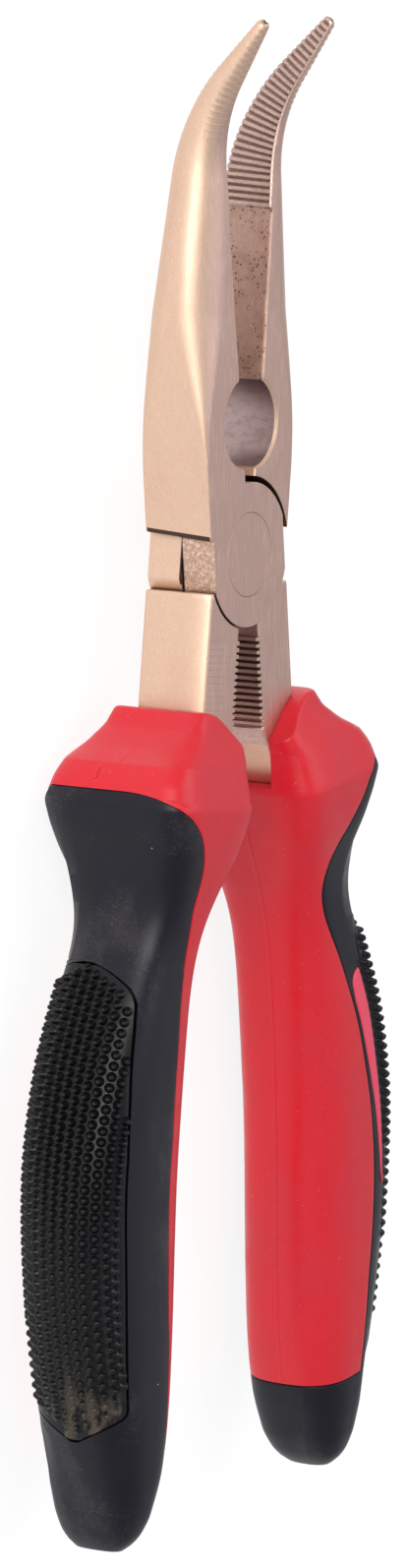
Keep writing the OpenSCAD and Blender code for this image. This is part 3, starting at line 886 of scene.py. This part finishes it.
class Paint:
    """A node material built from object coordinates, which are in metres."""

    def __init__(self, name, colour, roughness, metallic=0.0, specular=0.5):
        self.material = bpy.data.materials.new(name)
        self.material.use_nodes = True
        self.tree = self.material.node_tree
        self.shader = self.tree.nodes["Principled BSDF"]
        self.set("Base Color", (*colour, 1))
        self.set("Roughness", roughness)
        self.set("Metallic", metallic)
        self.set("Specular IOR Level", specular)
        self.coords = self.tree.nodes.new("ShaderNodeTexCoord")
        self.height = None

    def set(self, socket, value):
        self.shader.inputs[socket].default_value = value

    def link(self, out, into):
        self.tree.links.new(out, into)

    def noise(self, size, stretch=(1, 1, 1), detail=3.0, rough=0.55):
        """Noise whose grains are size millimetres across, longer along an axis by its stretch."""
        mapping = self.tree.nodes.new("ShaderNodeMapping")
        mapping.inputs["Scale"].default_value = [1 / (size * MM * k) for k in stretch]
        self.link(self.coords.outputs["Object"], mapping.inputs["Vector"])
        node = self.tree.nodes.new("ShaderNodeTexNoise")
        node.inputs["Scale"].default_value = 1.0
        node.inputs["Detail"].default_value = detail
        node.inputs["Roughness"].default_value = rough
        self.link(mapping.outputs["Vector"], node.inputs["Vector"])
        return node.outputs["Fac"]

    def cells(self, size):
        """Distance to the nearest of scattered points, in cell sizes."""
        mapping = self.tree.nodes.new("ShaderNodeMapping")
        mapping.inputs["Scale"].default_value = [1 / (size * MM)] * 3
        self.link(self.coords.outputs["Object"], mapping.inputs["Vector"])
        node = self.tree.nodes.new("ShaderNodeTexVoronoi")
        node.inputs["Scale"].default_value = 1.0
        self.link(mapping.outputs["Vector"], node.inputs["Vector"])
        return node.outputs["Distance"], node.outputs["Color"]

    def ramp(self, value, low, high, first=0.0, last=1.0):
        node = self.tree.nodes.new("ShaderNodeMapRange")
        node.interpolation_type = "SMOOTHSTEP"
        for socket, number in zip(("From Min", "From Max", "To Min", "To Max"), (low, high, first, last)):
            node.inputs[socket].default_value = number
        self.link(value, node.inputs["Value"])
        return node.outputs["Result"]

    def math(self, operation, a, b):
        node = self.tree.nodes.new("ShaderNodeMath")
        node.operation = operation
        for socket, value in zip(node.inputs, (a, b)):
            if isinstance(value, (int, float)):
                socket.default_value = value
            else:
                self.link(value, socket)
        return node.outputs["Value"]

    def axis(self, output, name):
        node = self.tree.nodes.new("ShaderNodeSeparateXYZ")
        self.link(self.coords.outputs[output], node.inputs["Vector"])
        return node.outputs[name]

    def mix(self, factor, colour):
        """Mixes another colour over the base colour, as strongly as factor says."""
        node = self.tree.nodes.new("ShaderNodeMix")
        node.data_type = "RGBA"
        factor_in, first, second = (node.inputs[k] for k in (0, 6, 7))
        self.link(factor, factor_in)
        base = self.shader.inputs["Base Color"]
        if base.is_linked:
            self.link(base.links[0].from_socket, first)
        else:
            first.default_value = base.default_value
        second.default_value = (*colour, 1)
        self.link(node.outputs[2], base)

    def crevice_shade(self, reach, strength, colour):
        """Painted shade: darkens what lies deep between nearby surfaces, within a reach in millimetres."""
        node = self.tree.nodes.new("ShaderNodeAmbientOcclusion")
        node.samples = 8
        node.inputs["Distance"].default_value = reach * MM
        self.mix(self.ramp(node.outputs["AO"], 0.25, 0.9, strength, 0), colour)

    def vary_roughness(self, factor, low, high):
        self.link(self.ramp(factor, 0.3, 0.7, low, high), self.shader.inputs["Roughness"])

    def bump(self, value, depth, strength=1.0):
        """Adds relief of the given depth in millimetres."""
        node = self.tree.nodes.new("ShaderNodeBump")
        node.inputs["Strength"].default_value = strength
        node.inputs["Distance"].default_value = depth * MM
        self.link(value, node.inputs["Height"])
        normal = self.shader.inputs["Normal"]
        if normal.is_linked:
            self.link(normal.links[0].from_socket, node.inputs["Normal"])
        self.link(node.outputs["Normal"], normal)


BRONZE = (0.76, 0.53, 0.395)
# Colour of the painted shade deep between nearby surfaces
CREVICE_SHADE = (0.07, 0.04, 0.032)


def bronze_outer():
    """Satin coated sides, and broad faces ground with fine lines along the tool. The broad faces are painted
    darker and more mauve as painted shade.
    """
    p = Paint("bronze_steel_outer", BRONZE, 0.42, 1.0)
    # Painted shade: faces turned along Z are painted darker and more mauve
    broad_face_shade = p.ramp(p.math("ABSOLUTE", p.axis("Normal", "Z"), 0), 0.8, 0.97)
    p.mix(p.math("MULTIPLY", broad_face_shade, 0.8), (0.53, 0.352, 0.318))
    mottle = p.noise(7.0, (1, 1.8, 1), 2.0)
    p.mix(p.ramp(mottle, 0.5, 0.75, 0, 0.3), (0.66, 0.44, 0.33))
    lines = p.noise(0.12, (1, 30, 1), 3.0)
    p.mix(p.ramp(lines, 0.5, 0.7, 0, 0.4), (0.88, 0.68, 0.54))
    grain = p.noise(0.2, (1, 1.5, 1), 2.0)
    p.mix(p.ramp(grain, 0.5, 0.68, 0, 0.22), (0.48, 0.31, 0.25))
    # Painted shade deep between nearby surfaces
    p.crevice_shade(0.6, 0.8, CREVICE_SHADE)
    streaks = p.math("ADD", p.math("MULTIPLY", mottle, 0.5), p.math("MULTIPLY", lines, 0.5))
    p.vary_roughness(streaks, 0.42, 0.54)
    p.bump(lines, 0.012, 0.6)
    p.bump(grain, 0.009, 0.5)
    return p.material


def bronze_pitted():
    """Gripping flats, speckled with small dark pits."""
    p = Paint("bronze_steel_pitted", (0.52, 0.345, 0.29), 0.5, 1.0)
    distance, _ = p.cells(0.55)
    clumps = p.noise(3.0, (1, 1, 1), 3.0)
    p.mix(p.ramp(clumps, 0.4, 0.65, 0, 0.55), (0.36, 0.22, 0.165))
    lines = p.noise(0.16, (1, 14, 1), 2.0)
    p.mix(p.ramp(lines, 0.5, 0.7, 0, 0.4), (0.66, 0.48, 0.39))
    pit = p.math("MULTIPLY", p.ramp(distance, 0.18, 0.34, 1, 0), p.ramp(clumps, 0.36, 0.52, 0.2, 0.9))
    p.mix(pit, (0.10, 0.05, 0.04))
    p.bump(p.ramp(distance, 0.1, 0.3), 0.06, 0.7)
    p.bump(lines, 0.02, 0.6)
    return p.material


def bronze_toothed():
    """Milled teeth, with painted shade in the roots, and the marks of the cutter along each tooth."""
    p = Paint("bronze_steel_toothed", (0.60, 0.435, 0.385), 0.40, 1.0)
    marks = p.noise(0.14, (6, 1, 6), 3.0)
    p.mix(p.ramp(marks, 0.45, 0.7, 0, 0.5), (0.32, 0.215, 0.185))
    specks = p.noise(0.4, (1, 1, 1), 2.0)
    p.mix(p.ramp(specks, 0.6, 0.75, 0, 0.5), (0.15, 0.09, 0.075))
    # Painted shade in the tooth roots
    p.crevice_shade(0.35, 1.0, CREVICE_SHADE)
    p.bump(marks, 0.02, 0.6)
    return p.material


def bronze_rough():
    """Flats of the joint, left as milled, with bright specks."""
    p = Paint("bronze_steel_rough", (0.70, 0.49, 0.375), 0.46, 1.0)
    grain = p.noise(0.55, (1.6, 1, 1), 4.0, 0.7)
    p.mix(p.ramp(grain, 0.46, 0.56, 0.5, 0), (0.36, 0.225, 0.165))
    p.mix(p.ramp(grain, 0.56, 0.64, 0, 0.5), (0.95, 0.80, 0.66))
    # Painted shade deep between nearby surfaces
    p.crevice_shade(0.7, 1.0, CREVICE_SHADE)
    p.bump(grain, 0.16, 1.0)
    return p.material


def bronze_hole():
    """Bored wall of the round opening, mottled grey and brown, with painted shadow in its upper end."""
    p = Paint("bronze_steel_bored", (0.47, 0.355, 0.35), 0.40, 1.0)
    mottle = p.noise(0.8, (1, 1, 1.6), 4.0, 0.6)
    p.mix(p.ramp(mottle, 0.46, 0.62, 0, 0.5), (0.33, 0.23, 0.215))
    p.mix(p.ramp(p.noise(0.22), 0.56, 0.70, 0, 0.4), (0.62, 0.50, 0.46))
    # Painted shadow: darker towards the upper end of the bore
    p.mix(p.ramp(p.axis("Object", "Y"), 0.0175, 0.0225, 0, 0.75), (0.14, 0.095, 0.09))
    p.bump(mottle, 0.02, 0.4)
    return p.material


def bronze_shadowed():
    """Walls deep in the joint, painted dark as painted shade."""
    p = Paint("bronze_steel_painted_shade", (0.085, 0.052, 0.042), 0.5, 1.0)
    p.bump(p.noise(0.4), 0.05, 0.6)
    return p.material


def red_plastic():
    """Satin moulded plastic with a faint skin and soft clouding."""
    p = Paint("red_core_plastic", (0.63, 0.014, 0.026), 0.28, 0.0, 0.36)
    cloud = p.noise(9.0, (1, 2, 1), 3.0)
    p.mix(p.ramp(cloud, 0.4, 0.7, 0, 0.5), (0.54, 0.024, 0.042))
    p.mix(p.ramp(p.noise(0.35), 0.66, 0.74, 0, 0.5), (0.80, 0.16, 0.17))
    p.vary_roughness(p.noise(3.0, (1, 1, 1), 4.0), 0.30, 0.44)
    p.bump(p.noise(0.12, (1, 1, 1), 2.0), 0.006, 0.5)
    p.bump(p.noise(1.6, (1, 1, 1), 2.0), 0.012, 0.35)
    p.set("Subsurface Weight", 0.08)
    p.set("Subsurface Radius", (0.004, 0.001, 0.001))
    return p.material


def dust(p, amount=1.0):
    """Sparse pale specks of dust."""
    distance, colour = p.cells(3.1)
    node = p.tree.nodes.new("ShaderNodeSeparateXYZ")
    p.link(colour, node.inputs["Vector"])
    some = p.ramp(node.outputs["X"], 0.62, 0.66)
    p.mix(p.math("MULTIPLY", p.ramp(distance, 0.025, 0.05, amount, 0), some), (0.42, 0.40, 0.40))


def black_rubber():
    """Matte rubber, slightly blue, with a fine skin, paler mottled patches painted in as sheen, and dust."""
    p = Paint("black_rubber_skin", (0.0032, 0.0024, 0.0085), 0.36, 0.0, 0.31)
    sheen_mottle = p.noise(11.0, (1, 1.4, 1), 4.0, 0.6)
    # Painted sheen: paler mottled patches and specks in the base colour
    p.mix(p.ramp(sheen_mottle, 0.52, 0.72, 0, 0.6), (0.030, 0.027, 0.032))
    fine = p.noise(0.3, (1, 1, 1), 3.0)
    sheen_speckle = p.math("MULTIPLY", p.ramp(fine, 0.55, 0.7, 0, 0.5), p.ramp(sheen_mottle, 0.45, 0.65))
    p.mix(sheen_speckle, (0.075, 0.068, 0.068))
    dust(p)
    p.vary_roughness(sheen_mottle, 0.46, 0.38)
    p.bump(p.noise(0.14, (1, 1, 1), 2.0), 0.012, 0.6)
    return p.material


def black_nubs():
    """Glossier rubber of the textured pad, with dried dirt low in its lower end."""
    p = Paint("black_rubber_nubs", (0.003, 0.0028, 0.004), 0.34, 0.0, 0.28)
    low = p.ramp(p.axis("Object", "Y"), -0.114, -0.098, 1, 0)
    dirt = p.math("MULTIPLY", p.ramp(p.noise(2.2, (1, 2.5, 1), 3.0), 0.48, 0.66), low)
    p.mix(p.math("MULTIPLY", dirt, 0.55), (0.16, 0.125, 0.09))
    p.vary_roughness(p.noise(0.6), 0.26, 0.42)
    p.bump(p.noise(0.12, (1, 1, 1), 2.0), 0.01, 0.5)
    return p.material


def pink_plastic():
    p = Paint("pink_inlay_plastic", (0.80, 0.06, 0.115), 0.42, 0.0, 0.45)
    p.mix(p.ramp(p.noise(5.0, (1, 2, 1), 3.0), 0.4, 0.7, 0, 0.5), (0.72, 0.075, 0.13))
    p.bump(p.noise(0.14, (1, 1, 1), 2.0), 0.008, 0.5)
    return p.material


OUTER, PITTED, TOOTHED, ROUGH, BORED, SHADOWED = range(6)


def steel_finish(x, y, z, n, jaw_side):
    """Finish of a closed half at a point with normal n. The jaw is on jaw_side of X."""
    inward = -jaw_side * n.x
    in_hole = abs(math.hypot(x + jaw_side * HOLE_OFFSET, y - HOLE_Y) - HOLE_R) < 0.12
    from_shoulder = math.hypot(x, y - SHOULDER_SHIFT) - SHOULDER_R
    if in_hole and abs(n.z) < 0.3:
        return BORED
    # The flats between the jaws, then the teeth on them and on the arms
    if y > HOLE_Y + 3 and abs(x) < 0.8 and abs(n.z) < 0.72 and inward > 0.3:
        return PITTED if y < TEETH_START - 0.1 else TOOTHED
    if y > TEETH_START and abs(x) < 0.6 and inward > 0.5:
        return TOOTHED
    if y < -9 and abs(x) < 2.2 and abs(n.z) < 0.6:
        return TOOTHED
    # The split between the layers and the shoulders' walls, painted dark as painted shade, and the milled
    # flats of the bosses
    if abs(z - MID_Z) < SPLIT_EDGE + LAYER_GAP and abs(x) > 5 and abs(y) < 4.5:
        return SHADOWED
    if abs(n.x) > 0.9 and 8.5 < abs(x) < 9.0 and abs(y) < 6:
        return ROUGH if (z > MID_Z) == (x < 0) else OUTER
    if abs(n.z) < 0.3 and abs(from_shoulder) < 0.15:
        return SHADOWED
    return OUTER


def paint_regions(obj, jaw_side):
    """Gives each face of a closed half the finish of its region."""
    for face in obj.data.polygons:
        face.material_index = steel_finish(*face.center, face.normal, jaw_side)


# ---- the pieces on their bodies ------------------------------------------------------

def add_materials(obj, materials):
    obj.data.materials.clear()
    for m in materials:
        obj.data.materials.append(m)


def put(obj, matrix, body, node, angle=30):
    place(obj, matrix)
    finish_surface(obj, angle)
    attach(obj, body)
    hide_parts(node)


steel = [bronze_outer(), bronze_pitted(), bronze_toothed(), bronze_rough(), bronze_hole(), bronze_shadowed()]
front = front_half()
add_materials(front, steel)
paint_regions(front, -1)
put(front, FRONT_TURN, "front_lever", "front_half")
rear = rear_half()
add_materials(rear, steel)
paint_regions(rear, 1)
put(rear, REAR_TURN, "rear_lever", "rear_half")
pin = rivet()
add_materials(pin, steel[:1])
put(pin, REAR_TURN, "rear_lever", "pivot_rivet")

grip_parts = [
    (grip_core(), "grip_core", "red_plastic", red_plastic()),
    (grip_overmould(), "grip_overmould", "black_rubber", black_rubber()),
    (nub_pad(), "nub_pad", "black_rubber", black_nubs()),
    (side_inlay(), "side_inlay", "pink_inlay", pink_plastic()),
]
for original, node, slot, material in grip_parts:
    add_materials(original, [material])
    twin = original.copy()
    twin.data = original.data.copy()
    bpy.context.scene.collection.objects.link(twin)
    base = original.name
    original.name = "left_" + base
    twin.name = "right_" + base
    put(original, REAR_TURN, "rear_lever", "left_" + node, 40)
    put(twin, FRONT_TURN @ FLIP, "front_lever", "right_" + node, 40)


# ---- floor, light and camera ---------------------------------------------------------

def floor(z):
    """Plain pale floor that the pliers lie on."""
    size = 3.0
    corners = [(-size, -size, z), (size, -size, z), (size, size, z), (-size, size, z)]
    plane = new_object("floor", corners, [(0, 1, 2, 3)])
    p = Paint("floor_white", (0.2, 0.2, 0.2), 0.9, 0.0, 0.0)
    p.set("Emission Color", (1.0, 1.0, 1.0, 1))
    p.set("Emission Strength", 0.86)
    add_materials(plane, [p.material])
    plane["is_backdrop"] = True


def softbox(name, direction, distance, size, power, colour):
    """Square area light that faces the pliers from a direction, sized in metres."""
    data = bpy.data.lights.new(name, "AREA")
    data.shape = "SQUARE"
    data.size = size
    data.energy = power
    data.color = colour
    lamp = bpy.data.objects.new(name, data)
    d = np.array(direction, float)
    d /= np.linalg.norm(d)
    lamp.matrix_world = Matrix.Translation([*(d * distance)]) @ look_matrix(-d, (0, 1, 0.01))
    bpy.context.scene.collection.objects.link(lamp)


def look_matrix(forward, up):
    """Rotation of a lamp or camera that looks along forward."""
    f = np.array(forward, float)
    f /= np.linalg.norm(f)
    r = np.cross(f, up)
    r /= np.linalg.norm(r)
    u = np.cross(r, f)
    return Matrix([[r[i], u[i], -f[i], 0] for i in range(3)] + [[0, 0, 0, 1]])


def camera():
    """Camera at the left front of the pliers, with the tips up in the picture."""
    aim = np.array([-6.1, -29.8, 6.8])
    distance = 846.0
    turn, height, roll = math.radians(58.9), math.radians(8.6), math.radians(0.55)
    level = math.cos(height)
    forward = np.array([math.sin(turn) * level, -math.sin(height), -math.cos(turn) * level])
    data = bpy.data.cameras.new("camera")
    data.sensor_width = 36.0
    data.lens = 148.6
    data.clip_start = 0.05
    cam = bpy.data.objects.new("camera", data)
    spin = Matrix.Rotation(roll, 4, "Z")
    place_at = Matrix.Translation([*((aim - forward * distance) * MM)])
    cam.matrix_world = place_at @ look_matrix(forward, (0, 1, 0)) @ spin
    bpy.context.scene.collection.objects.link(cam)
    bpy.context.scene.camera = cam


def studio_world():
    """Even, slightly cool light from all round."""
    world = bpy.data.worlds.new("studio")
    world.use_nodes = True
    background = world.node_tree.nodes["Background"]
    background.inputs["Color"].default_value = (0.86, 0.88, 0.92, 1)
    background.inputs["Strength"].default_value = 0.62
    bpy.context.scene.world = world


studio_world()
bpy.context.scene.view_settings.view_transform = "Standard"

floor(min(cad_box[0][2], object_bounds()[0][2]) - 0.0002)
softbox("key", (-0.80, 0.36, 0.50), 1.0, 0.6, 3.9, (1.0, 0.96, 0.91))
softbox("side", (-0.876, 0.382, 0.293), 1.0, 0.5, 2.7, (1.0, 0.97, 0.93))
softbox("fill", (0.5, 0.4, 1.0), 1.0, 0.8, 2.9, (0.95, 0.97, 1.0))
camera()

bpy.context.view_layer.update()
